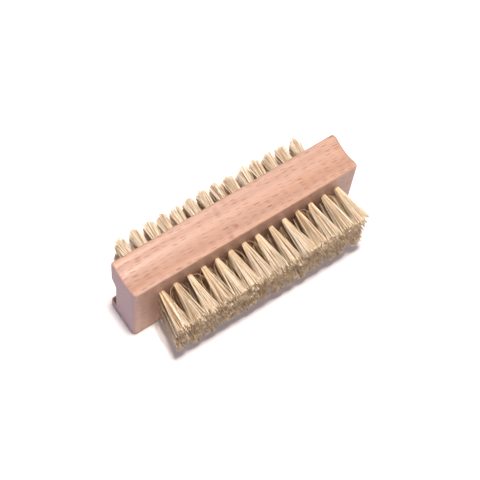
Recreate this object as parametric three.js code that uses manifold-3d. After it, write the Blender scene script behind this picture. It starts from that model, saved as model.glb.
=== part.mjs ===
// A double-sided wooden nail brush: one stock of beech with rows of blind holes in both broad faces,
// and in each hole a tuft of plant fibre, doubled over a flat wire anchor that holds it at the bottom.
// The brush lies on its long narrow side. Millimetres: +X runs along the stock, -Y points out of the
// main bristle face, +Y out of the channelled back, +Z is up, and z = 0 is the side that it lies on.

import * as THREE from "three";
import { mergeVertices } from "three/addons/utils/BufferGeometryUtils.js";
import Module from "manifold-3d";

// The stock
const STOCK_LENGTH = 96.3;
const STOCK_THICKNESS = 15.6;
const STOCK_HEIGHT = 38.3;
const CORNER_RADIUS = 1.3; // the four upright corners
const EDGE_RADIUS = 0.9; // the long edges
const GROOVE_WIDTH = 11; // the shallow finger groove along the top
const GROOVE_DEPTH = 1.4;

// The channel in the back, between a deep upper lip and a narrow foot
const CHANNEL_DEPTH = 2.9;
const LIP_HEIGHT = 11.8; // from the top of the stock to the channel's upper shoulder
const SHOULDER_HEIGHT = 4.6; // the shoulder's S-shaped fall to the channel floor
const FOOT_HEIGHT = 4.8;

// The tuft holes
const COLUMNS = 14;
const FRONT_ROWS = 4;
const BACK_ROWS = 3;
const LEFT_MARGIN = 11.55; // from the left end of the stock to the first column
const RIGHT_MARGIN = 8.55; // from the last column to the right end: the pattern is drilled off centre
const FRONT_MARGIN = 9.8; // from the top and bottom of the stock to the nearest front row
const BACK_MARGIN = 2.1; // from the ends of the channel floor to the nearest back row
const HOLE_RADIUS = 1.3;
const HOLE_WEB = 1.5; // the wood left between a front hole and the back hole behind it
const ROUND_SIDES = 8;

// The tufts and their anchors
const TUFT_LENGTH = 16; // from the wood to the trimmed tips
const FLARE_START = 2; // a tuft leaves its hole straight for this far before it spreads
const PRESS_DEPTH = 0.35; // how far neighbours in one column are pressed into each other at the tips
const FOLD_THICKNESS = 0.8; // the fibres that pass under the anchor
const ANCHOR_LENGTH = 3.4; // it spans the hole and bites into the wood on both sides
const ANCHOR_DEPTH = 1.6;
const ANCHOR_THICKNESS = 0.4;
const CLEARANCE = 0.3; // between two pieces

const holeDepth = (STOCK_THICKNESS - CHANNEL_DEPTH - HOLE_WEB) / 2;
const bundleRadius = HOLE_RADIUS - CLEARANCE;
const columnPitch = (STOCK_LENGTH - LEFT_MARGIN - RIGHT_MARGIN) / (COLUMNS - 1);
const floorTop = STOCK_HEIGHT - LIP_HEIGHT - SHOULDER_HEIGHT;

// Each bristle face: the place of its wood, the way its tufts point, and the heights of its rows.
const faces = {
  front: {
    y: -STOCK_THICKNESS / 2,
    turn: Math.PI,
    rows: spread(FRONT_MARGIN, STOCK_HEIGHT - FRONT_MARGIN, FRONT_ROWS),
  },
  back: {
    y: STOCK_THICKNESS / 2 - CHANNEL_DEPTH,
    turn: 0,
    rows: spread(FOOT_HEIGHT + BACK_MARGIN, floorTop - BACK_MARGIN, BACK_ROWS),
  },
};

const beech = new THREE.MeshStandardMaterial({ color: 0xe3b79b, roughness: 0.5, metalness: 0 });
const fibre = new THREE.MeshStandardMaterial({ color: 0xe0cda8, roughness: 0.8, metalness: 0 });
const wire = new THREE.MeshStandardMaterial({ color: 0xb9b6ad, roughness: 0.35, metalness: 1 });

const wasm = await Module();
wasm.setup();

// Evenly spaced values from low to high.
function spread(low, high, count) {
  const step = (high - low) / (count - 1);
  return Array.from({ length: count }, (_, i) => low + i * step);
}

// A closed geometry as a solid that can be cut and joined.
function solidFrom(geometry) {
  const bare = geometry.clone();
  bare.deleteAttribute("normal");
  bare.deleteAttribute("uv");
  const merged = mergeVertices(bare, 1e-4);
  return new wasm.Manifold(
    new wasm.Mesh({
      numProp: 3,
      vertProperties: new Float32Array(merged.getAttribute("position").array),
      triVerts: new Uint32Array(merged.getIndex().array),
    }),
  );
}

// A solid as a named mesh of the brush.
function meshFrom(solid, name, material) {
  const { vertProperties, triVerts } = solid.getMesh();
  const geometry = new THREE.BufferGeometry();
  geometry.setAttribute("position", new THREE.BufferAttribute(vertProperties, 3));
  geometry.setIndex(new THREE.BufferAttribute(triVerts, 1));
  const flat = geometry.toNonIndexed();
  flat.computeVertexNormals();
  const mesh = new THREE.Mesh(flat, material);
  mesh.name = name;
  return mesh;
}

// A shape drawn in Y and Z and drawn out along the whole length of the stock.
function alongStock(shape) {
  const geometry = new THREE.ExtrudeGeometry(shape, {
    depth: STOCK_LENGTH,
    bevelEnabled: false,
    curveSegments: 5,
  });
  const axes = new THREE.Matrix4().makeBasis(
    new THREE.Vector3(0, 1, 0),
    new THREE.Vector3(0, 0, 1),
    new THREE.Vector3(1, 0, 0),
  );
  return geometry.applyMatrix4(axes).translate(-STOCK_LENGTH / 2, 0, 0);
}

// The stock's section, anticlockwise from the front of the side that it lies on.
function stockSection() {
  const front = -STOCK_THICKNESS / 2;
  const back = STOCK_THICKNESS / 2;
  const floor = back - CHANNEL_DEPTH;
  const top = STOCK_HEIGHT;
  const lip = STOCK_HEIGHT - LIP_HEIGHT;
  const bend = SHOULDER_HEIGHT / 2;
  const r = EDGE_RADIUS;
  const section = new THREE.Shape();
  section.moveTo(front + r, 0);
  section.lineTo(back - r, 0);
  section.quadraticCurveTo(back, 0, back, r);
  section.lineTo(back, FOOT_HEIGHT);
  section.lineTo(floor, FOOT_HEIGHT);
  section.lineTo(floor, floorTop);
  section.bezierCurveTo(floor, floorTop + bend, back, lip - bend, back, lip);
  section.lineTo(back, top - r);
  section.quadraticCurveTo(back, top, back - r, top);
  section.lineTo(GROOVE_WIDTH / 2, top);
  section.quadraticCurveTo(0, top - 2 * GROOVE_DEPTH, -GROOVE_WIDTH / 2, top);
  section.lineTo(front + r, top);
  section.quadraticCurveTo(front, top, front, top - r);
  section.lineTo(front, r);
  section.quadraticCurveTo(front, 0, front + r, 0);
  return section;
}

// The stock seen from above: a rectangle with round corners, as tall as the stock.
function stockPlan() {
  const x = STOCK_LENGTH / 2;
  const y = STOCK_THICKNESS / 2;
  const r = CORNER_RADIUS;
  const plan = new THREE.Shape();
  plan.moveTo(-x + r, -y);
  plan.lineTo(x - r, -y);
  plan.quadraticCurveTo(x, -y, x, -y + r);
  plan.lineTo(x, y - r);
  plan.quadraticCurveTo(x, y, x - r, y);
  plan.lineTo(-x + r, y);
  plan.quadraticCurveTo(-x, y, -x, y - r);
  plan.lineTo(-x, -y + r);
  plan.quadraticCurveTo(-x, -y, -x + r, -y);
  return new THREE.ExtrudeGeometry(plan, {
    depth: STOCK_HEIGHT,
    bevelEnabled: false,
    curveSegments: 3,
  });
}

// A shape that is drawn with its hole's mouth at the origin and its tips towards +Y, set in place.
function place(geometry, face, x, z) {
  return geometry.rotateZ(face.turn).translate(x, face.y, z);
}

// A drill's cut, which starts a little outside the wood.
function hole(face, x, z) {
  const length = holeDepth + CLEARANCE;
  const drill = new THREE.CylinderGeometry(HOLE_RADIUS, HOLE_RADIUS, length, ROUND_SIDES);
  return solidFrom(place(drill.translate(0, CLEARANCE - length / 2, 0), face, x, z));
}

// A flat strip across a hole, where the anchor lies, grown on every side by a margin.
function anchorBlock(face, x, z, margin) {
  const strip = new THREE.BoxGeometry(
    ANCHOR_LENGTH + 2 * margin,
    ANCHOR_DEPTH + 2 * margin,
    ANCHOR_THICKNESS + 2 * margin,
  );
  const middle = -holeDepth + 2 * CLEARANCE + FOLD_THICKNESS + ANCHOR_DEPTH / 2;
  return solidFrom(place(strip.translate(0, middle, 0), face, x, z));
}

// One tuft: a round bundle in its hole that spreads to an oval tip, just clear of the next column
// and pressed into the next row.
function tuft(face, x, z) {
  const tipAcross = (columnPitch - CLEARANCE) / 2;
  const rowPitch = face.rows[1] - face.rows[0];
  const tipUpright = rowPitch / 2 + PRESS_DEPTH;
  const profile = [
    new THREE.Vector2(0, CLEARANCE - holeDepth),
    new THREE.Vector2(bundleRadius, CLEARANCE - holeDepth),
    new THREE.Vector2(bundleRadius, FLARE_START),
    new THREE.Vector2(tipAcross, TUFT_LENGTH),
    new THREE.Vector2(0, TUFT_LENGTH),
  ];
  const geometry = new THREE.LatheGeometry(profile, ROUND_SIDES);
  const position = geometry.getAttribute("position");
  for (let i = 0; i < position.count; i += 1) {
    if (position.getY(i) > FLARE_START) {
      position.setZ(i, (position.getZ(i) * tipUpright) / tipAcross);
    }
  }
  return solidFrom(place(geometry, face, x, z));
}

const brush = new THREE.Group();
const columns = spread(LEFT_MARGIN - STOCK_LENGTH / 2, STOCK_LENGTH / 2 - RIGHT_MARGIN, COLUMNS);

let stock = solidFrom(alongStock(stockSection())).intersect(solidFrom(stockPlan()));

for (const [side, face] of Object.entries(faces)) {
  const anchoredRow = face.rows.at(-1); // the top row's anchors are nodes of their own
  columns.forEach((x, column) => {
    const number = String(column + 1).padStart(2, "0");
    const slot = anchorBlock(face, x, anchoredRow, CLEARANCE);
    const tufts = face.rows.map((z) => tuft(face, x, z));
    const pressed = tufts.reduce((joined, next) => joined.add(next)).subtract(slot);
    brush.add(meshFrom(pressed, `${side}_tufts_column_${number}`, fibre));
    const anchor = anchorBlock(face, x, anchoredRow, 0);
    brush.add(meshFrom(anchor, `${side}_anchor_${number}`, wire));
    for (const z of face.rows) {
      stock = stock.subtract(hole(face, x, z));
    }
    stock = stock.subtract(slot);
  });
}

brush.add(meshFrom(stock, "wooden_stock", beech));

export default brush;
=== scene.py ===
# %% [markdown]
# # A double-sided wooden nail brush
# The brush is one stock of beech with tufts of straw-coloured plant fibre standing out of both broad
# faces. The front face has four rows of tufts, and the channel in the back has three. Each tuft is a
# bundle of loose fibres, doubled over a flat wire anchor at the bottom of a blind hole.
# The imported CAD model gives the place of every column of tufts, so it is loaded first.

# %% The frame
import math

import bpy
import numpy as np
from mathutils import Matrix, Vector


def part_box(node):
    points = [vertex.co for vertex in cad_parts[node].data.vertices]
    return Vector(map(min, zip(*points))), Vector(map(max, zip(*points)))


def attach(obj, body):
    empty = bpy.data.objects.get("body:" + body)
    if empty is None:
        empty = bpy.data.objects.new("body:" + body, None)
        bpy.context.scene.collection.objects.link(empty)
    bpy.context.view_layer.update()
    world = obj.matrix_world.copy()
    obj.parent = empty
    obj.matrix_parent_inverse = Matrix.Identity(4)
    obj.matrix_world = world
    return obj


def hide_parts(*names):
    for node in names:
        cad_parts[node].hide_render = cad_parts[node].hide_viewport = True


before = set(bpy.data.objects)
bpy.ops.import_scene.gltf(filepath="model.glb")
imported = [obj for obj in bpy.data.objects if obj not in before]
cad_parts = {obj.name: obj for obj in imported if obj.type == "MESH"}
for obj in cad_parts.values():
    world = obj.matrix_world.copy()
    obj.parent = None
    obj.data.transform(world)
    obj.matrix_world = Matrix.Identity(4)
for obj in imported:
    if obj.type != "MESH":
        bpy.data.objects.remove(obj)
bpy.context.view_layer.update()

# %% [markdown]
# ## Sizes
# The stock's outside comes from its CAD box. What a box can't tell, such as the depth of the channel and
# the heights of the rows, is named here once, in metres, as on a maker's drawing.

# %% Sizes of the stock, its holes and its tufts
MM = 0.001
SIDES = ("front", "back")
COLUMNS = 14
ROW_COUNT = {"front": 4, "back": 3}
EDGE_RADIUS, END_EDGE_RADIUS = 0.8 * MM, 1.2 * MM  # along the stock, and round its two ends
CORNER_RADIUS = {
    "front left": 2.0 * MM,
    "back left": 1.3 * MM,
    "front right": 1.3 * MM,
    "back right": 1.7 * MM,
}
GROOVE_WIDTH, GROOVE_DEPTH = 11 * MM, 1.4 * MM
CHANNEL_DEPTH, FOOT_HEIGHT = 2.9 * MM, 4.8 * MM
LIP_HEIGHT, SHOULDER_HEIGHT = 11.8 * MM, 4.6 * MM
FRONT_MARGIN, BACK_MARGIN = 9.8 * MM, 2.1 * MM
HOLE_RADIUS, HOLE_WEB = 0.98 * MM, 1.5 * MM
TUFT_LENGTH = {"front": 16 * MM, "back": 15.5 * MM}
TIP_DOME = {"front": 0.2 * MM, "back": 1.3 * MM}  # how much shorter a tuft is at its sides
RUN_OUT_DOME = 3.2 * MM  # the same where the trimming knife runs out, at the last column of the back
TIP_SPREAD = {"front": 0.5, "back": 0.44}  # half the width of a tuft at its tips, as a share of the pitch
ANCHOR_SIZE = Vector((3.4, 1.6, 0.4)) * MM
ANCHOR_HEIGHT = 1.4 * MM  # from the bottom of a hole to the underside of its anchor

stock_low, stock_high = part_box("wooden_stock")
length, thickness, height = stock_high - stock_low
front_y, back_y = stock_low.y, stock_high.y
floor_y = back_y - CHANNEL_DEPTH
floor_top = height - LIP_HEIGHT - SHOULDER_HEIGHT
hole_depth = (thickness - CHANNEL_DEPTH - HOLE_WEB) / 2


def column_x(side, number):
    """The middle of a column of tufts, from its CAD box."""
    low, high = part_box(f"{side}_tufts_column_{number:02d}")
    return (low.x + high.x) / 2


column_pitch = (column_x("front", COLUMNS) - column_x("front", 1)) / (COLUMNS - 1)
rows = {
    "front": np.linspace(height - FRONT_MARGIN, FRONT_MARGIN, ROW_COUNT["front"]),
    "back": np.linspace(floor_top - BACK_MARGIN, FOOT_HEIGHT + BACK_MARGIN, ROW_COUNT["back"]),
}
mouth_y = {"front": front_y, "back": floor_y}
outward = {"front": -1, "back": 1}
print("column pitch", round(column_pitch / MM, 2), "mm, hole depth", round(hole_depth / MM, 2), "mm")

# %% [markdown]
# ## Camera
# The brush is small, so the camera stands about 60 cm away with a long lens and looks steeply down on
# the finger groove. Its direction, roll and aim are set by angles, and its axes are worked out from them.

# %% The camera
CAMERA_AZIMUTH = math.radians(-42.32)
CAMERA_ELEVATION = math.radians(66.30)
CAMERA_ROLL = math.radians(9.17)
CAMERA_DISTANCE = 591.3 * MM
CAMERA_AIM = Vector((0, 0, 15)) * MM
AIM_RIGHT, AIM_UP = 2.72 * MM, -0.24 * MM
LENS, SENSOR = 120, 36  # millimetres, as on a real camera

back_axis = Vector((
    math.sin(CAMERA_AZIMUTH) * math.cos(CAMERA_ELEVATION),
    -math.cos(CAMERA_AZIMUTH) * math.cos(CAMERA_ELEVATION),
    math.sin(CAMERA_ELEVATION),
))
level_right = (-back_axis).cross(Vector((0, 0, 1))).normalized()
level_up = level_right.cross(-back_axis)
right_axis = math.cos(CAMERA_ROLL) * level_right + math.sin(CAMERA_ROLL) * level_up
up_axis = math.cos(CAMERA_ROLL) * level_up - math.sin(CAMERA_ROLL) * level_right
eye = CAMERA_AIM + CAMERA_DISTANCE * back_axis + AIM_RIGHT * right_axis + AIM_UP * up_axis

camera_data = bpy.data.cameras.new("camera")
camera_data.lens, camera_data.sensor_width = LENS, SENSOR
camera_data.clip_start, camera_data.clip_end = 0.01, 10
camera = bpy.data.objects.new("camera", camera_data)
bpy.context.collection.objects.link(camera)
camera_turn = Matrix((right_axis, up_axis, back_axis)).transposed().to_4x4()
camera.matrix_world = Matrix.Translation(eye) @ camera_turn
bpy.context.scene.camera = camera
print("camera at", [round(v, 3) for v in eye])

# %% [markdown]
# ## Helpers for modelling by hand
# An operator works on whatever is selected, so each step first selects exactly what it needs: an object
# by name, or the points of a mesh that pass a test on their place.

# %% Helpers
SAME_PLACE = 0.01 * MM


def near(a, b):
    """True for two places or lengths that are the same for a maker."""
    return abs(a - b) < SAME_PLACE


def only(piece):
    """Selects one object and nothing else."""
    bpy.ops.object.select_all(action="DESELECT")
    piece.select_set(True)
    bpy.context.view_layer.objects.active = piece


def pick(piece, test):
    """Selects the points of a mesh for which test(place) is true, and goes into edit mode."""
    bpy.ops.object.mode_set(mode="EDIT")
    bpy.ops.mesh.select_mode(type="VERT")
    bpy.ops.mesh.select_all(action="DESELECT")
    bpy.ops.object.mode_set(mode="OBJECT")
    for point in piece.data.vertices:
        point.select = bool(test(point.co))
    bpy.ops.object.mode_set(mode="EDIT")


def cut_across(piece, axis, places, above=-1.0):
    """Cuts a mesh, or only what is above some height, by planes across one axis."""
    normal = Vector((axis == "X", axis == "Y", axis == "Z"))
    for place in places:
        pick(piece, lambda co: co.z > above)
        bpy.ops.mesh.bisect(plane_co=normal * place, plane_no=normal)
    bpy.ops.object.mode_set(mode="OBJECT")


def settle(piece):
    """Puts the object's place, turn and scale into its mesh."""
    only(piece)
    bpy.ops.object.transform_apply(location=True, rotation=True, scale=True)
    return piece


def use_modifier(piece, kind, **settings):
    """Adds a modifier with these settings and applies it."""
    only(piece)
    modifier = piece.modifiers.new(kind.title(), kind)
    for name, value in settings.items():
        setattr(modifier, name, value)
    bpy.ops.object.modifier_apply(modifier=modifier.name)


print("points within", round(SAME_PLACE / MM, 2), "mm count as one place")

# %% [markdown]
# ## The stock
# The real stock is a length of moulding: a spindle cutter runs the finger groove and the back channel
# along a strip of beech, which is then cut to length, drilled and sanded. It could be an outline drawn
# out along its length, but a block cut by planes is closer to the machining: each plane leaves a line of
# points, and moving those points is the pass of the cutter.

# %% The block, cut into strips
bpy.ops.object.select_all(action="DESELECT")
bpy.ops.mesh.primitive_cube_add(size=1, location=(0, 0, height / 2), scale=(length, thickness, height))
stock = bpy.context.object
stock.name = stock.data.name = "beech_stock"
settle(stock)

GROOVE_STRIPS, SHOULDER_STRIPS = 12, 10
FOOT_FILLET = 0.25 * MM
lip_z = height - LIP_HEIGHT
groove_lines = np.linspace(-GROOVE_WIDTH / 2, GROOVE_WIDTH / 2, GROOVE_STRIPS + 1)
shoulder_lines = np.linspace(floor_top, lip_z, SHOULDER_STRIPS + 1)
cut_across(stock, "Z", [FOOT_HEIGHT, FOOT_HEIGHT + FOOT_FILLET, *shoulder_lines])
cut_across(stock, "Y", groove_lines, above=lip_z - SAME_PLACE)
print("stock cut into", len(stock.data.polygons), "strips")

# %% [markdown]
# The cutter for the finger groove has a curved edge, so each line of points sinks by its place under a
# parabola: nothing at the sides of the groove, and the full depth in the middle.

# %% The finger groove along the top
for y in groove_lines[1:-1]:
    pick(stock, lambda co: near(co.z, height) and near(co.y, y))
    fall = GROOVE_DEPTH * (1 - (2 * y / GROOVE_WIDTH) ** 2)
    bpy.ops.transform.translate(value=(0, 0, -fall))
bpy.ops.object.mode_set(mode="OBJECT")
print("finger groove", round(GROOVE_WIDTH / MM, 1), "x", round(GROOVE_DEPTH / MM, 1), "mm")

# %% [markdown]
# The channel is one more pass. Its flat floor moves in by the full depth, and the lines of the shoulder
# above it follow an S, so that it leaves the floor and meets the lip without a corner.

# %% The channel along the back, with its flat floor and S-shaped shoulder
floor_low, floor_high = FOOT_HEIGHT + FOOT_FILLET / 2, floor_top + SAME_PLACE
pick(stock, lambda co: near(co.y, back_y) and floor_low < co.z < floor_high)
bpy.ops.transform.translate(value=(0, -CHANNEL_DEPTH, 0))
for z in shoulder_lines[1:-1]:
    pick(stock, lambda co: near(co.y, back_y) and near(co.z, z))
    share = (lip_z - z) / SHOULDER_HEIGHT
    smooth_step = share * share * (3 - 2 * share)
    bpy.ops.transform.translate(value=(0, -CHANNEL_DEPTH * smooth_step, 0))
bpy.ops.object.mode_set(mode="OBJECT")
print("stock section ready, floor at y", round(floor_y / MM, 2), "mm")

# %% [markdown]
# Sanding rounds the upright corners most, since they are held against the belt, and not all of them
# alike. Every sharp edge gets a bevel weight from its own radius, and one Bevel rounds them all by their
# weights. The soft curves of the groove and the shoulder have no weight and stay.

# %% Sanded edges
SHARP = math.radians(50)
TOP_BAND = 1.1 * GROOVE_DEPTH  # the outline of the top lies within this much of the height
BEVEL_STEPS = 5


def on_upright_corner(edge):
    """True for the edges at the two ends that run up the front or down the outline of the back."""
    ends = [stock.data.vertices[i].co for i in edge.vertices]
    at_end = all(near(abs(co.x), length / 2) for co in ends)
    between_faces = not any(near(co.y, front_y) or near(co.y, back_y) for co in ends)
    low, high = sorted(co.z for co in ends)
    level = near(high, 0) or low > height - TOP_BAND
    step = low > FOOT_HEIGHT - SAME_PLACE and high < FOOT_HEIGHT + FOOT_FILLET + SAME_PLACE
    inner = between_faces and min(co.y for co in ends) <= floor_y - SAME_PLACE
    return at_end and not (level or step or inner)


bpy.ops.object.mode_set(mode="EDIT")
bpy.ops.mesh.select_mode(type="EDGE")
bpy.ops.mesh.select_all(action="DESELECT")
bpy.ops.mesh.edges_select_sharp(sharpness=SHARP)
bpy.ops.object.mode_set(mode="OBJECT")
weights = stock.data.attributes.new("bevel_weight_edge", "FLOAT", "EDGE")
widest = max(CORNER_RADIUS.values())
for edge in stock.data.edges:
    if edge.select:
        first, last = (stock.data.vertices[i].co for i in edge.vertices)
        if on_upright_corner(edge):
            face = "front" if first.y < 0 else "back"
            end = "right" if first.x > 0 else "left"
            radius = CORNER_RADIUS[f"{face} {end}"]
        else:
            radius = END_EDGE_RADIUS if near(first.x, last.x) else EDGE_RADIUS
        weights.data[edge.index].value = radius / widest
use_modifier(stock, "BEVEL", width=widest, segments=BEVEL_STEPS, limit_method="WEIGHT")
print("stock with round edges:", len(stock.data.polygons), "faces")

# %% [markdown]
# ## The holes
# Every hole is the same: round, blind, and square to its face. One drill is modelled, with the slight
# cone that a drill's point leaves at the bottom, and its copies are joined and cut out of the stock in
# one Boolean. The copies join the first drill, so that one is moved aside and cuts nothing itself.

# %% The drill and the holes
DRILL_SIDES = 20
POINT_DEPTH = 0.25 * MM
POINT_INSET = 0.9 * HOLE_RADIUS
DRILL_OVERHANG = 1 * MM  # the drill starts this far outside the wood
ASIDE = Matrix.Translation((0, 0, -1))  # well clear of the stock
STOCK_SMOOTH = math.radians(32)
drill_length = hole_depth + DRILL_OVERHANG
bpy.ops.object.select_all(action="DESELECT")
bpy.ops.mesh.primitive_cylinder_add(vertices=DRILL_SIDES, radius=HOLE_RADIUS, depth=drill_length)
drill = bpy.context.object
settle(drill)
pick(drill, lambda co: co.z < 0)
bpy.ops.mesh.select_mode(type="FACE")
bpy.ops.mesh.inset(thickness=POINT_INSET)
bpy.ops.transform.translate(value=(0, 0, -POINT_DEPTH))
bpy.ops.object.mode_set(mode="OBJECT")

drills = []
for side in SIDES:
    for number in range(1, COLUMNS + 1):
        for z in rows[side]:
            copy = bpy.data.objects.new("drill_copy", drill.data.copy())
            bpy.context.collection.objects.link(copy)
            turn = Matrix.Rotation(-outward[side] * math.pi / 2, 4, "X")
            middle = mouth_y[side] - outward[side] * (hole_depth - drill_length / 2)
            place = Matrix.Translation((column_x(side, number), middle, z))
            copy.data.transform(place @ turn)
            drills.append(copy)
only(drill)
for copy in drills:
    copy.select_set(True)
drill.data.transform(ASIDE)
bpy.ops.object.join()
use_modifier(stock, "BOOLEAN", operation="DIFFERENCE", object=drill, solver="EXACT")
bpy.data.objects.remove(drill)
only(stock)
bpy.ops.object.shade_smooth_by_angle(angle=STOCK_SMOOTH)
use_modifier(stock, "WEIGHTED_NORMAL", keep_sharp=True)
print("holes:", len(drills), "and the stock has", len(stock.data.polygons), "faces")

# %% [markdown]
# ## The fibres
# A tuft could be one solid with a streaky material, but its outline would be a smooth cone, and a real
# tuft is seen by its single fibres: gaps at the sides, strays, and a ragged trimmed end. So each fibre
# is geometry. One fibre is modelled with a few sides and a few rings, and copies of it are bent along
# the path that each fibre takes: down one leg from the tip into the hole, round under the anchor, and up
# the other leg, because a tuft is doubled over its anchor.

# %% The pattern fibre
FIBRE_SIDES = 5
LEG_SHARES = (1, 0.74, 0.5, 0.27, 0.08, 0)  # ring places along a leg, from tip to mouth
ARC_STEPS = (0, 60, 120, 180)  # degrees round the anchor
RINGS = 2 * len(LEG_SHARES) + len(ARC_STEPS)

bpy.ops.object.select_all(action="DESELECT")
bpy.ops.mesh.primitive_cylinder_add(vertices=FIBRE_SIDES, radius=1, depth=RINGS - 1)
pattern = bpy.context.object
settle(pattern)
pattern.data.transform(Matrix.Translation((0, 0, (RINGS - 1) / 2)))
cut_across(pattern, "Z", range(1, RINGS - 1))

pattern_points = np.array([v.co for v in pattern.data.vertices])
pattern_ring = np.rint(pattern_points[:, 2]).astype(int)
pattern_faces = [tuple(face.vertices) for face in pattern.data.polygons]
bpy.data.objects.remove(pattern)
print("pattern fibre:", RINGS, "rings,", len(pattern_faces), "faces")

# %% [markdown]
# The spread of a tuft is worked out from the disc of fibres in its hole. A fibre's place in the disc
# says where its tip goes in the field round the tuft, so the outer fibres lean out most and neighbours
# meet between the holes. Small groups of fibres cling together, as natural fibre does, which leaves
# narrow dark gaps between the groups. All draws come from one seeded generator.

# %% The spread of a tuft
FIBRES = 45  # doubled, so 90 tips
FIBRE_RADIUS = 0.1 * MM
BUNDLE_RADIUS = 0.87 * MM
GROUPS = 14
GROUP_SCATTER, GROUP_LIMIT = 0.55, 0.85  # how far the middles of the groups lie out in the unit disc
CLINGING = 0.32  # the most of its way to the middle of its group that a tip is drawn in
CORNER_STRETCH = 0.22  # tips fill the corners between four holes, so a tuft is a little square
TIP_SCATTER = 0.08
GOLDEN_ANGLE = math.pi * (3 - math.sqrt(5))
SEED = 14
draw = np.random.default_rng(SEED)


def half_disc(count):
    """Evenly packed places in the upper half of a unit disc, as an array of x and z."""
    steps = np.arange(2 * count) + 0.5
    spread = np.sqrt(steps / (2 * count))
    turn = steps * GOLDEN_ANGLE
    places = np.stack([spread * np.cos(turn), spread * np.sin(turn)], 1)
    upper = np.sort(np.argsort(places[:, 1])[count:])
    return places[upper]


def tip_places(places, reach):
    """Where fibres at these places in the unit disc have their tips, and which group each clings to."""
    groups = draw.normal(0, GROUP_SCATTER, (GROUPS, 2))
    nearest = np.argmin(((places[:, None] - groups[None]) ** 2).sum(2), 1)
    clinging = draw.uniform(0.0, CLINGING, len(places))[:, None]
    tips = places * (1 - clinging) + groups[nearest].clip(-GROUP_LIMIT, GROUP_LIMIT) * clinging
    stretch = 1 + CORNER_STRETCH * np.abs(tips[:, :1] * tips[:, 1:])
    tips = tips * stretch + draw.normal(0, TIP_SCATTER, tips.shape)
    return tips * np.array(reach), nearest


print("fibres in a tuft:", FIBRES, "with", 2 * FIBRES, "tips in", 2 * GROUPS, "groups")

# %% [markdown]
# The fibres come out of grown leaves, so no two are equally straight. Most bow a little, and a few strays
# bow right out of the bundle. Trimming leaves the tips nearly level, but single fibres and whole groups
# slip by some tenths of a millimetre, and a tuft is lower at its sides than in its middle.

# %% The path of every fibre in a tuft
LENGTH_SPREAD, GROUP_SPREAD = 0.3 * MM, 0.45 * MM  # of single fibres, and of whole groups
SHORTEST, LONGEST = -1.6 * MM, 0.4 * MM  # against the tuft's own length
BOW = 0.12 * MM
BOW_POWER = 0.6  # under 1, so that a fibre bows most in the half nearer its hole
STRAY_SHARE, END_STRAY_SHARE = 0.06, 0.12  # in most tufts, and in the free ones at the ends of the field
STRAY_BOW = np.array((1.8, 0.9)) * MM  # across and upright
LEG_GAP = 0.18  # half the way between a tuft's two legs in the hole, as a share of its radius
FOLD_DEPTH = 0.14 * MM  # the innermost fibre passes this far below the anchor
FOLD_GROWTH = 0.8  # and the others further, by this share of their place outside it


def leg(places, tips, lengths, bow):
    """Points from the tips to the mouth of the hole: fibres x rings x (across, outward, upright)."""
    shares = np.array(LEG_SHARES)[None, :, None]
    flat = places[:, None] * BUNDLE_RADIUS * (1 - shares) + tips[:, None] * shares
    flat = flat + bow[:, None] * np.sin(math.pi * shares ** BOW_POWER)
    along = lengths[:, None, None] * shares
    return np.concatenate([flat[..., :1], along, flat[..., 1:]], 2)


def tuft_paths(side, reach, lean, stray_share, dome_height):
    """The paths of a tuft's fibres, from a mouth at the origin towards +Y, and which of them stray."""
    half = half_disc(FIBRES)
    half = np.stack([half[:, 0], LEG_GAP + (1 - LEG_GAP) * half[:, 1]], 1)
    legs = []
    strays = draw.uniform(0, 1, FIBRES) < stray_share
    for sign in (1, -1):
        places = half * (1, sign)
        tips, group = tip_places(places, reach)
        dome = dome_height * (tips[:, 0] / reach[0]) ** 2
        uneven = draw.normal(0, LENGTH_SPREAD, FIBRES) + draw.normal(0, GROUP_SPREAD, GROUPS)[group]
        lengths = TUFT_LENGTH[side] - dome + uneven.clip(SHORTEST, LONGEST)
        tips += np.array(lean)
        bow = draw.normal(0, 1, (FIBRES, 2)) * np.where(strays[:, None], STRAY_BOW, BOW)
        legs.append(leg(places, tips, lengths, bow))
    angles = np.radians(ARC_STEPS)[None, :]
    under = hole_depth - ANCHOR_HEIGHT
    wide = half[:, 1:] * BUNDLE_RADIUS
    deep = FOLD_DEPTH + FOLD_GROWTH * (wide - wide.min())
    arc = np.stack([
        np.repeat(half[:, :1] * BUNDLE_RADIUS, len(ARC_STEPS), 1),
        -under - deep * np.sin(angles),
        wide * np.cos(angles),
    ], 2)
    return np.concatenate([legs[0], arc, legs[1][:, ::-1]], 1), strays


print("tips stand", round(TUFT_LENGTH["front"] / MM, 1), "mm from the front and",
      round(TUFT_LENGTH["back"] / MM, 1), "mm from the channel floor")

# %% [markdown]
# A curve with a bevel could draw each fibre, but thousands of curves are slow and have no colour of their
# own. So the rings of the pattern fibre are set across each path, and a tuft becomes one mesh, which
# keeps three values for every point: the fibre's tone, the way along it, and a chance for its cut end.

# %% Fibres along their paths, as one mesh
THINNEST, THICKEST = 0.75, 1.25  # times the usual radius
# Strays take only the darker, rusty tones, which is painted shade, since they lie in the shaded gaps
# between tufts.
STRAY_WIDTH, STRAY_PAINTED_SHADE = 0.7, 0.2  # times an ordinary fibre's
FIBRE_SMOOTH = math.radians(80)


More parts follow.
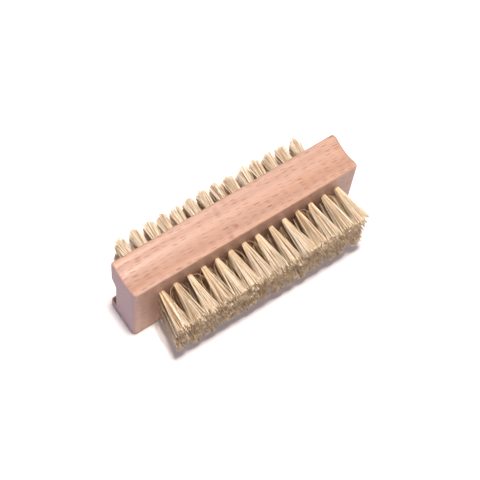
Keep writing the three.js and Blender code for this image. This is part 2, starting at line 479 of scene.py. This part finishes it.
def sweep(paths, radii):
    """Bends a copy of the pattern fibre along each path. Returns the points and the faces."""
    ahead = np.concatenate([paths[:, 1:], paths[:, -1:]], 1)
    behind = np.concatenate([paths[:, :1], paths[:, :-1]], 1)
    forward = ahead - behind
    forward /= np.linalg.norm(forward, axis=2, keepdims=True)
    across = np.array((1.0, 0, 0)) - forward[..., :1] * forward
    across /= np.linalg.norm(across, axis=2, keepdims=True)
    sideways = np.cross(forward, across)
    offset = (across[:, pattern_ring] * pattern_points[None, :, :1]
              + sideways[:, pattern_ring] * pattern_points[None, :, 1:2])
    points = paths[:, pattern_ring] + offset * radii[:, None, None]
    step = len(pattern_points)
    faces = [tuple(i * step + v for v in face) for i in range(len(paths)) for face in pattern_faces]
    return points.reshape(-1, 3), faces


def add_tuft(name, side, x, z, reach, lean, stray_share, dome_height):
    """One tuft as a piece of its own, with its fibres' three values in an attribute."""
    paths, strays = tuft_paths(side, reach, lean, stray_share, dome_height)
    radii = FIBRE_RADIUS * draw.uniform(THINNEST, THICKEST, len(paths)) * np.where(strays, STRAY_WIDTH, 1)
    points, faces = sweep(paths, radii)
    turned = points * (outward[side], outward[side], 1) + np.array((x, mouth_y[side], z))
    mesh = bpy.data.meshes.new(name)
    mesh.from_pydata(turned.tolist(), [], faces)
    tone = np.ones((len(paths), len(pattern_points), 4))
    # Strays get darker tones, as painted shade.
    tone[..., 0] = (draw.uniform(0, 1, len(paths)) * np.where(strays, STRAY_PAINTED_SHADE, 1))[:, None]
    tone[..., 1] = (points[:, 1] / TUFT_LENGTH[side]).clip(0, 1).reshape(len(paths), -1)
    tone[..., 2] = draw.uniform(0, 1, len(paths))[:, None]
    mesh.color_attributes.new("fibre", "FLOAT_COLOR", "POINT").data.foreach_set("color", tone.ravel())
    piece = bpy.data.objects.new(name, mesh)
    bpy.context.collection.objects.link(piece)
    only(piece)
    bpy.ops.object.shade_smooth_by_angle(angle=FIBRE_SMOOTH)
    return piece


print("faces in a tuft:", FIBRES * len(pattern_faces))

# %% [markdown]
# Neighbouring tufts hold each other up, and only those round the edge of the field are free on one side.
# The outer tufts therefore lean out a little, the lowest row sags towards the table, and the others lean
# at random by less.

# %% All the tufts
EDGE_LEAN, SAG, RANDOM_LEAN = 0.45 * MM, 0.5 * MM, 0.22 * MM
tufts = []
for side in SIDES:
    row_pitch = rows[side][0] - rows[side][1]
    reach = (TIP_SPREAD[side] * column_pitch, TIP_SPREAD[side] * row_pitch)
    for number in range(1, COLUMNS + 1):
        for row, z in enumerate(rows[side], 1):
            lean = draw.normal(0, RANDOM_LEAN, 2)
            lean[0] += EDGE_LEAN * outward[side] * ((number == COLUMNS) - (number == 1))
            lean[1] -= SAG * (row == len(rows[side]))
            at_end = number in (1, COLUMNS)
            tuft = add_tuft(
                f"{side}_tuft_{number:02d}_{row}", side, column_x(side, number), z, reach, lean,
                stray_share=END_STRAY_SHARE if at_end else STRAY_SHARE,
                dome_height=RUN_OUT_DOME if (side, number) == ("back", COLUMNS) else TIP_DOME[side],
            )
            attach(tuft, "root")
            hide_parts(f"{side}_tufts_column_{number:02d}")
            tufts.append(tuft)
print("tufts:", len(tufts), "with", sum(len(t.data.polygons) for t in tufts), "faces")

# %% [markdown]
# ## The anchors
# An anchor is a short length of flat wire that the tufting machine cuts off and drives into the fold of
# the fibres. Nobody sees it, but it is what holds the tuft. The top row's anchors come from the CAD
# model, and the same piece is modelled here for the other rows. Its driven edge is thinner and a little
# shorter, and the burr of the cut-off is rounded.

# %% The pattern anchor and its copies
DRIVEN_EDGE = (0.94, 1, 0.6)  # its length and thickness, as shares of the anchor's
BURR_RADIUS, BURR_STEPS = 0.08 * MM, 2
bpy.ops.object.select_all(action="DESELECT")
bpy.ops.mesh.primitive_cube_add(size=1, scale=ANCHOR_SIZE)
anchor_pattern = settle(bpy.context.object)
pick(anchor_pattern, lambda co: co.y < 0)
bpy.ops.transform.resize(value=DRIVEN_EDGE)
bpy.ops.mesh.select_all(action="SELECT")
bpy.ops.mesh.bevel(offset=BURR_RADIUS, segments=BURR_STEPS)
bpy.ops.object.mode_set(mode="OBJECT")
anchors = []
depth = hole_depth - ANCHOR_HEIGHT - ANCHOR_SIZE.y / 2
for side in SIDES:
    middle = mouth_y[side] - outward[side] * depth
    turn = Matrix.Rotation(0 if side == "back" else math.pi, 4, "Z")
    for number in range(1, COLUMNS + 1):
        for row, z in enumerate(rows[side][1:], 2):
            anchor = bpy.data.objects.new(f"{side}_anchor_{number:02d}_{row}", anchor_pattern.data.copy())
            bpy.context.collection.objects.link(anchor)
            anchor.data.transform(Matrix.Translation((column_x(side, number), middle, z)) @ turn)
            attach(anchor, "root")
            anchors.append(anchor)
bpy.data.objects.remove(anchor_pattern)
print("anchors:", len(anchors))

# %% [markdown]
# The stock is finished, so it can stand for its CAD node. The brush has no joint: everything rides on
# one body.

# %% The stock takes its CAD node's place
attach(stock, "root")
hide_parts("wooden_stock")
print("stock stands for its CAD node")

# %% [markdown]
# ## Materials
# The patterns read object coordinates, which are the same as places in the brush's frame because every
# piece sits at the origin. A small set of helpers adds nodes by kind and joins them.

# %% Helpers for node trees
class Sheet:
    """A node tree with short ways to add nodes and links."""

    def __init__(self, tree):
        self.tree = tree

    def add(self, kind, inputs=None, **settings):
        """A node with these settings, whose inputs are linked to sockets or set to values."""
        node = self.tree.nodes.new(kind)
        for name, value in settings.items():
            setattr(node, name, value)
        for name, value in (inputs or {}).items():
            if isinstance(value, bpy.types.NodeSocket):
                self.tree.links.new(value, node.inputs[name])
            else:
                node.inputs[name].default_value = value
        return node

    def maths(self, operation, *values):
        """The result of one calculation."""
        return self.add("ShaderNodeMath", dict(enumerate(values)), operation=operation).outputs[0]

    def part(self, kind, vector, name):
        """One part of a vector or a colour, split by this kind of node."""
        return self.add(kind, {0: vector}).outputs[name]

    def ramp(self, value, *stops):
        """A colour or a grey from a value, between stops of a position and a colour or a grey."""
        node = self.add("ShaderNodeValToRGB", {"Fac": value})
        while len(node.color_ramp.elements) < len(stops):
            node.color_ramp.elements.new(0.5)
        for element, (position, colour) in zip(node.color_ramp.elements, stops):
            element.position = position
            element.color = (*colour, 1) if isinstance(colour, tuple) else (colour, colour, colour, 1)
        return node.outputs["Color"]

    def mix(self, factor, first, second, blend="MIX"):
        """Two colours mixed by a factor, each of the three a socket or a value."""
        node = self.add("ShaderNodeMix", data_type="RGBA", blend_type=blend)
        for name, value in (("Factor_Float", factor), ("A_Color", first), ("B_Color", second)):
            socket = next(s for s in node.inputs if s.identifier == name)
            if isinstance(value, bpy.types.NodeSocket):
                self.tree.links.new(value, socket)
            else:
                socket.default_value = value if isinstance(value, (int, float)) else (*value, 1)
        return next(s for s in node.outputs if s.identifier == "Result_Color")


def new_material(name):
    """A new material, its sheet and its Principled shader."""
    material = bpy.data.materials.new(name)
    material.use_nodes = True
    sheet = Sheet(material.node_tree)
    shader = next(n for n in material.node_tree.nodes if n.type == "BSDF_PRINCIPLED")
    return material, sheet, shader


def give(piece, material):
    """Makes this the piece's only material."""
    piece.data.materials.clear()
    piece.data.materials.append(material)


print("pieces waiting for a material:", 1 + len(tufts) + len(anchors))

# %% [markdown]
# ### Stretched patterns
# Wood and drawn wire both have marks that are long one way and narrow the other. A node group turns and
# squeezes the coordinates, so that round patterns come out as streaks, and gives back a streak value and
# a mask of short dashes, some faint and some strong. In beech, fine dashes are the cut ends of the wood
# rays, and wider ones serve again as pale flecks. Nothing grows straight, so the grain also waves a little.

# %% The grain group
GRAIN_INPUTS = ("Tilt", "Streak Width", "Streak Length", "Dash Width", "Dash Length", "Dash Share")
TILT_AXIS = (0.2, -0.35, 0.92)  # mostly upright, so the tilt shows on the top, and less on the faces
WAVE = (0, 1.2 * MM, 1.2 * MM)  # how far the grain wanders along X, Y and Z
MIDDLE_GREY = (0.5, 0.5, 0.5)
DASH_RIM, DASH_CORE = 0.42, 0.34  # from the middle of a Voronoi cell: a dash starts, and is full


def grain_group():
    tree = bpy.data.node_groups.new("grain", "ShaderNodeTree")
    for name in GRAIN_INPUTS:
        tree.interface.new_socket(name, in_out="INPUT", socket_type="NodeSocketFloat")
    for name in ("Streak", "Dash"):
        tree.interface.new_socket(name, in_out="OUTPUT", socket_type="NodeSocketFloat")
    sheet = Sheet(tree)
    given = sheet.add("NodeGroupInput").outputs
    result = sheet.add("NodeGroupOutput")
    place = sheet.add("ShaderNodeTexCoord").outputs["Object"]
    turned = sheet.add("ShaderNodeVectorRotate",
                       {"Vector": place, "Angle": given["Tilt"], "Axis": TILT_AXIS},
                       rotation_type="AXIS_ANGLE").outputs[0]
    wavy = sheet.add("ShaderNodeTexNoise", {"Vector": turned, "Scale": 60, "Detail": 1}).outputs["Color"]
    centred = sheet.add("ShaderNodeVectorMath", {0: wavy, 1: MIDDLE_GREY}, operation="SUBTRACT").outputs[0]
    bent = sheet.add("ShaderNodeVectorMath", {0: centred, 1: WAVE, 2: turned},
                     operation="MULTIPLY_ADD").outputs[0]

    def squeezed(long, wide):
        """The bent coordinates, counted in lengths along the grain and in widths across it."""
        along = sheet.maths("DIVIDE", 1.0, long)
        over = sheet.maths("DIVIDE", 1.0, wide)
        scale = sheet.add("ShaderNodeCombineXYZ", {"X": along, "Y": over, "Z": over}).outputs[0]
        return sheet.add("ShaderNodeVectorMath", {0: bent, 1: scale}, operation="MULTIPLY").outputs[0]

    for_streaks = squeezed(given["Streak Length"], given["Streak Width"])
    streak = sheet.add("ShaderNodeTexNoise", {"Vector": for_streaks, "Scale": 1, "Detail": 3,
                                              "Roughness": 0.55}).outputs["Fac"]
    for_dashes = squeezed(given["Dash Length"], given["Dash Width"])
    cells = sheet.add("ShaderNodeTexVoronoi", {"Vector": for_dashes, "Scale": 1, "Randomness": 1}).outputs
    chance = sheet.part("ShaderNodeSeparateColor", cells["Color"], "Red")
    faintness = sheet.maths("MINIMUM", sheet.maths("DIVIDE", chance, given["Dash Share"]), 1.0)
    strength = sheet.maths("SUBTRACT", 1.0, faintness)
    body = sheet.add("ShaderNodeMapRange",
                     {"Value": cells["Distance"], "From Min": DASH_RIM, "From Max": DASH_CORE},
                     interpolation_type="SMOOTHSTEP").outputs[0]
    sheet.tree.links.new(streak, result.inputs["Streak"])
    sheet.tree.links.new(sheet.maths("MULTIPLY", body, strength), result.inputs["Dash"])
    return tree


grain = grain_group()
print("group sockets:", [item.name for item in grain.interface.items_tree])

# %% [markdown]
# ### Beech
# Steamed beech is a pinkish tan with broad soft bands, pale flecks, fine streaks along the grain and many
# short dark dashes. It turns pinker towards the back, which is a painted sheen. The sawn ends are darker
# and hardly show the dashes, and their greyish violet tint is painted cool light from the side. They shine
# less, because their open pores soak up the wax. The surface is sanded and waxed to a satin, which a thin
# rough coat gives. The surface normal says which faces are the sawn ends.

# %% Beech material
PINK_BEECH, TAN_BEECH = (0.43, 0.265, 0.215), (0.455, 0.262, 0.185)
# The sawn ends are darker wood, and the violet in their colour is painted cool light from the side.
END_BEECH_WITH_PAINTED_COOL_LIGHT = (0.36, 0.235, 0.27)
DASH_BROWN, PALE_FLECK = (0.22, 0.075, 0.045), (0.54, 0.36, 0.28)
STREAK_DARK, STREAK_LIGHT = 0.86, 1.07  # times the wood's colour
# Painted sheen: the tone turns pinker towards the back, where the satin finish shows a sheen.
PAINTED_SHEEN_PINK_DRIFT = 14.0  # how fast the tone turns pinker towards the back, for each metre
FLECK_SHARE = 0.25  # of the pale colour in a fleck
END_DASH_FADE = 0.85  # the dashes nearly vanish on the sawn ends
STREAK_RELIEF = 0.6  # against the depth of a dash
BROAD_GRAIN = {"Tilt": 0.05, "Streak Width": 6 * MM, "Streak Length": 90 * MM,
               "Dash Width": 0.5 * MM, "Dash Length": 5 * MM, "Dash Share": 0.6}
FINE_GRAIN = {"Tilt": 0.07, "Streak Width": 0.3 * MM, "Streak Length": 8 * MM,
              "Dash Width": 0.27 * MM, "Dash Length": 3.7 * MM, "Dash Share": 0.5}


def beech_material():
    material, sheet, shader = new_material("waxed_beech")
    bands = sheet.add("ShaderNodeGroup", BROAD_GRAIN, node_tree=grain).outputs
    fine = sheet.add("ShaderNodeGroup", FINE_GRAIN, node_tree=grain).outputs
    coordinates = sheet.add("ShaderNodeTexCoord").outputs

    towards_back = sheet.part("ShaderNodeSeparateXYZ", coordinates["Object"], "Y")
    # The random broad bands, plus a painted sheen that turns the tone pinker towards the back.
    pinkness_and_painted_sheen = sheet.maths("ADD", bands["Streak"], sheet.maths("MULTIPLY", towards_back, PAINTED_SHEEN_PINK_DRIFT))
    tone = sheet.ramp(pinkness_and_painted_sheen, (0.3, TAN_BEECH), (0.7, PINK_BEECH))
    streaks = sheet.ramp(fine["Streak"], (0.3, STREAK_DARK), (0.7, STREAK_LIGHT))
    face = sheet.mix(1.0, tone, streaks, "MULTIPLY")
    # The colour of the sawn ends: darker end grain with a painted violet tint of cool side light.
    end = sheet.mix(1.0, END_BEECH_WITH_PAINTED_COOL_LIGHT, streaks, "MULTIPLY")
    sideways = sheet.part("ShaderNodeSeparateXYZ", coordinates["Normal"], "X")
    at_end = sheet.add("ShaderNodeMapRange", {"Value": sheet.maths("ABSOLUTE", sideways),
                                              "From Min": 0.3, "From Max": 0.9}).outputs[0]
    # Faces and sawn ends mixed; both carry painted light: the sheen towards the back and the cool light on
    # the ends.
    wood_with_painted_light = sheet.mix(at_end, face, end)
    flecked = sheet.mix(sheet.maths("MULTIPLY", bands["Dash"], FLECK_SHARE), wood_with_painted_light, PALE_FLECK)
    shown = sheet.maths("SUBTRACT", 1.0, sheet.maths("MULTIPLY", at_end, END_DASH_FADE))
    dashed = sheet.mix(sheet.maths("MULTIPLY", fine["Dash"], shown), flecked, DASH_BROWN)

    rough = sheet.add("ShaderNodeMapRange", {"Value": fine["Streak"], "To Min": 0.5, "To Max": 0.66})
    relief = sheet.maths("SUBTRACT", sheet.maths("MULTIPLY", fine["Streak"], STREAK_RELIEF), fine["Dash"])
    bump = sheet.add("ShaderNodeBump", {"Strength": 0.25, "Distance": 0.05 * MM, "Height": relief})
    waxed = sheet.add("ShaderNodeMapRange", {"Value": at_end, "To Min": 0.26, "To Max": 0.08})
    links = sheet.tree.links
    links.new(dashed, shader.inputs["Base Color"])
    links.new(rough.outputs[0], shader.inputs["Roughness"])
    links.new(bump.outputs[0], shader.inputs["Normal"])
    links.new(waxed.outputs[0], shader.inputs["Coat Weight"])
    shader.inputs["Coat Roughness"].default_value = 0.3
    shader.inputs["Specular IOR Level"].default_value = 0.35
    return material


beech = beech_material()
give(stock, beech)
print("nodes in the beech:", len(beech.node_tree.nodes))

# %% [markdown]
# ### Plant fibre
# Each fibre has a tone of its own, from pale cream to straw and now and then rust. Its cut end is painted
# dark in some fibres and bright in others, as painted shade in the gaps between the tips and painted
# highlights on them. Near the wood it is a little warmer and darker, which is painted warm shade. The
# fibre's tone, the way along it and its chance are in the mesh's own attribute, and a fine noise adds the
# spots of a grown thing.

# %% Fibre material
CREAM, STRAW = (0.87, 0.765, 0.64), (0.78, 0.64, 0.47)
DARK_STRAW, RUST = (0.56, 0.38, 0.21), (0.42, 0.20, 0.09)
# The cut ends' bright and dark colours are painted highlights on the tips and painted shade in the gaps
# between them.
CUT_END_PAINTED_HIGHLIGHT, CUT_END_PAINTED_SHADE = (1.0, 0.83, 0.52), (0.22, 0.11, 0.05)
# The warmer, darker root colour is painted shade near the wood, where the tufts shade each other.
ROOT_PAINTED_SHADE = (1.0, 0.96, 0.88)  # times the fibre's own colour
ROOT_TOP, ROOT_FULL = 0.45, 0.1  # along the fibre from the wood: the tint starts, and is full
CUT_START, CUT_SHARE = 0.93, 0.95  # where the cut end's colour starts, and how much of it the tip has
SPOT_DARK, SPOT_LIGHT = 0.84, 1.05


def fibre_material():
    material, sheet, shader = new_material("plant_fibre")
    attribute = sheet.add("ShaderNodeAttribute", attribute_name="fibre").outputs["Color"]
    parts = sheet.add("ShaderNodeSeparateColor", {"Color": attribute}).outputs
    own_tone, along, chance = parts["Red"], parts["Green"], parts["Blue"]
    place = sheet.add("ShaderNodeTexCoord").outputs["Object"]

    tone = sheet.ramp(own_tone, (0.0, RUST), (0.07, DARK_STRAW), (0.35, STRAW), (0.75, CREAM))
    spots = sheet.add("ShaderNodeTexNoise", {"Vector": place, "Scale": 900, "Detail": 2}).outputs["Fac"]
    spot_shade = sheet.ramp(spots, (0.3, SPOT_DARK), (0.65, SPOT_LIGHT))
    spotted = sheet.mix(1.0, tone, spot_shade, "MULTIPLY")
    root = sheet.add("ShaderNodeMapRange",
                     {"Value": along, "From Min": ROOT_TOP, "From Max": ROOT_FULL}).outputs[0]
    # Painted shade: the colour is warmer and darker near the wood.
    root_shaded = sheet.mix(root, spotted, sheet.mix(1.0, spotted, ROOT_PAINTED_SHADE, "MULTIPLY"))
    ends = sheet.add("ShaderNodeMapRange",
                     {"Value": along, "From Min": CUT_START, "From Max": 1.0, "To Max": CUT_SHARE},
                     interpolation_type="SMOOTHSTEP").outputs[0]
    # Painted light on the tips: dark for painted shade in the gaps, bright for painted highlights.
    cut = sheet.ramp(chance, (0.12, CUT_END_PAINTED_SHADE), (0.42, CUT_END_PAINTED_HIGHLIGHT), (1.0, CREAM))

    rough = sheet.add("ShaderNodeMapRange", {"Value": spots, "To Min": 0.42, "To Max": 0.68})
    bump = sheet.add("ShaderNodeBump", {"Strength": 0.3, "Distance": 0.02 * MM, "Height": spots})
    links = sheet.tree.links
    links.new(sheet.mix(ends, root_shaded, cut), shader.inputs["Base Color"])
    links.new(rough.outputs[0], shader.inputs["Roughness"])
    links.new(bump.outputs[0], shader.inputs["Normal"])
    return material


fibre = fibre_material()
for tuft in tufts:
    give(tuft, fibre)
print("nodes in the fibre:", len(fibre.node_tree.nodes))

# %% [markdown]
# ### Anchor wire
# Galvanised flat wire is a bright grey metal with the faint lines of the die that it was drawn through.
# The grain group serves again, with thin streaks along the anchor.

# %% Wire material
ZINC_DARK, ZINC_LIGHT = (0.42, 0.41, 0.39), (0.66, 0.65, 0.62)
DRAWN_LINES = {"Streak Width": 0.06 * MM, "Streak Length": 3 * MM,
               "Dash Width": 0.3 * MM, "Dash Length": 1 * MM, "Dash Share": 0.2}


def wire_material():
    material, sheet, shader = new_material("galvanised_wire")
    drawn = sheet.add("ShaderNodeGroup", DRAWN_LINES, node_tree=grain).outputs["Streak"]
    colour = sheet.ramp(drawn, (0.3, ZINC_DARK), (0.7, ZINC_LIGHT))
    rough = sheet.add("ShaderNodeMapRange", {"Value": drawn, "To Min": 0.25, "To Max": 0.5})
    sheet.tree.links.new(colour, shader.inputs["Base Color"])
    sheet.tree.links.new(rough.outputs[0], shader.inputs["Roughness"])
    shader.inputs["Metallic"].default_value = 1
    return material


wire = wire_material()
cad_anchors = [node for name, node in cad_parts.items() if "anchor" in name]
for piece in anchors + cad_anchors:
    give(piece, wire)
print("anchors of wire:", len(anchors + cad_anchors))

# %% [markdown]
# ## Floor and light
# The brush lies on a plain pale table. A small soft key light hangs straight above it, so the shadows are
# short, and a weak fill light stands in front. A dim room all round lifts what neither light reaches.

# %% The floor
FLOOR_SIZE = 3
FLOOR_COLOUR = (0.88, 0.86, 0.90)
SPECKLE = 0.99  # the darkest speckles, times the floor's colour
bpy.ops.object.select_all(action="DESELECT")
bpy.ops.mesh.primitive_plane_add(size=FLOOR_SIZE, location=(0, 0, 0))
table_top = bpy.context.object
table_top.name = "table_top"
table_material, table_sheet, table_shader = new_material("pale_table")
speckle = table_sheet.add("ShaderNodeTexNoise", {"Scale": 400}).outputs["Fac"]
table_tone = table_sheet.mix(speckle, tuple(SPECKLE * v for v in FLOOR_COLOUR), FLOOR_COLOUR)
table_sheet.tree.links.new(table_tone, table_shader.inputs["Base Color"])
table_shader.inputs["Roughness"].default_value = 0.9
table_shader.inputs["Specular IOR Level"].default_value = 0
give(table_top, table_material)
print("table", FLOOR_SIZE, "m wide")

# %% [markdown]
# Both lights are round and have an area, which softens their shadows' edges. The key is slightly warm and
# the room slightly violet, so that what is in shade looks cooler than what is lit.

# %% The lights
SKY = (0.95, 0.89, 1.0, 1)
SKY_STRENGTH = 0.24
KEY_COLOUR = (1.0, 0.93, 0.84)
KEY_PLACE = Vector((0.0, -0.01, 0.9))
KEY_SIZE, KEY_POWER = 0.16, 12.0
FILL_COLOUR = (1.0, 0.96, 0.95)
FILL_PLACE = Vector((0.2, -0.8, 0.4))
FILL_SIZE, FILL_POWER = 0.5, 1.6
LIGHT_AIM = Vector((0, 0, 0.02))  # the middle of the brush

world = bpy.data.worlds.new("room")
world.use_nodes = True
bpy.context.scene.world = world
sky = next(n for n in world.node_tree.nodes if n.type == "BACKGROUND")
sky.inputs["Color"].default_value = SKY
sky.inputs["Strength"].default_value = SKY_STRENGTH


def soft_light(name, place, size, power, colour):
    """A round area light at a place, turned towards the brush."""
    data = bpy.data.lights.new(name, "AREA")
    data.shape, data.size, data.energy, data.color = "DISK", size, power, colour
    lamp = bpy.data.objects.new(name, data)
    bpy.context.collection.objects.link(lamp)
    lamp.location = place
    lamp.rotation_euler = (LIGHT_AIM - place).to_track_quat("-Z", "Y").to_euler()


soft_light("key_light", KEY_PLACE, KEY_SIZE, KEY_POWER, KEY_COLOUR)
soft_light("fill_light", FILL_PLACE, FILL_SIZE, FILL_POWER, FILL_COLOUR)
bpy.context.scene.view_settings.view_transform = "Standard"
print("lights:", [light.name for light in bpy.data.lights])
